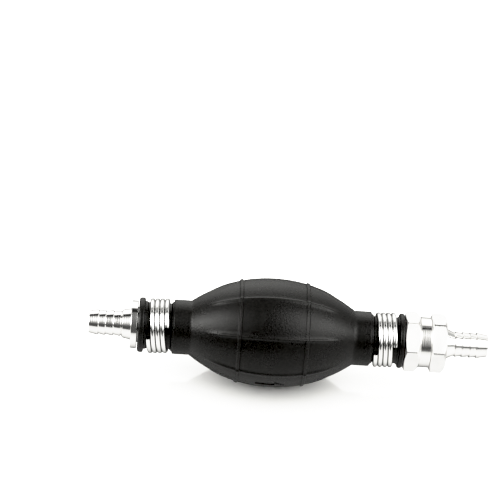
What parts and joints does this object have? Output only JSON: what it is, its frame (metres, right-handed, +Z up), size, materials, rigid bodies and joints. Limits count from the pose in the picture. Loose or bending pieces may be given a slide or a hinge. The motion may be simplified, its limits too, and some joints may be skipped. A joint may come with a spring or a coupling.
{
  "type": "siphon bulb pump",
  "caption": "Hand-squeezed siphon bulb: a ribbed rubber bulb clamped by spring wire over barbed metal hose fittings that hold one-way valves.",
  "frame": {"origin": "on the resting surface, under the middle of the pump's overall length", "axes": "+X along the pump from the inlet barb to the outlet barb, +Z up, -Y towards the side the picture shows"},
  "size_m": [0.1638, 0.044, 0.044],
  "materials": {
    "bulb_rubber": "satin moulded black rubber with a fine grain",
    "spring_steel": "bright drawn and plated spring wire",
    "turned_aluminium": "bright turned, with fine rings",
    "cast_aluminium": "bright, lightly tumbled flats",
    "brass": "plain turned",
    "acetal": "white moulded",
    "seal_rubber": "matt"
  },
  "bodies": {
    "pump": {"bulb": "bulb_rubber", "inlet_clamp": "spring_steel", "outlet_clamp": "spring_steel", "inlet_nipple": "turned_aluminium", "inlet_valve_spring": "spring_steel", "inlet_retainer": "acetal", "inlet_circlip": "spring_steel", "outlet_body": "turned_aluminium", "outlet_valve_spring": "spring_steel", "outlet_retainer": "acetal"},
    "inlet_valve": {"inlet_poppet": "brass", "inlet_poppet_seal": "seal_rubber"},
    "outlet_valve": {"outlet_poppet": "brass", "outlet_poppet_seal": "seal_rubber"},
    "ring_carrier": {"outlet_sealing_ring": "seal_rubber"},
    "tail": {"outlet_tail": "cast_aluminium"}
  },
  "joints": [
    {"name": "inlet_valve_lift", "type": "slide", "parent": "pump", "child": "inlet_valve", "axis": [1, 0, 0], "range_m": [0, 0.0015], "stiffness_N_per_m": 80, "springref_m": -0.002, "deforming": ["inlet_valve_spring"]},
    {"name": "outlet_valve_lift", "type": "slide", "parent": "pump", "child": "outlet_valve", "axis": [1, 0, 0], "range_m": [0, 0.0015], "stiffness_N_per_m": 80, "springref_m": -0.002, "deforming": ["outlet_valve_spring"]},
    {"name": "tail_advance", "type": "slide", "parent": "pump", "child": "ring_carrier", "axis": [1, 0, 0], "range_m": [0, 0.0045]},
    {"name": "tail_unscrew", "type": "hinge", "parent": "ring_carrier", "child": "tail", "pos_m": [0.058, 0, 0.02202], "axis": [1, 0, 0], "range_deg": [0, 1080]}
  ],
  "couplings": [
    {"joint": "tail_advance", "follows": "tail_unscrew", "m_per_rad": 0.00023873}
  ]
}
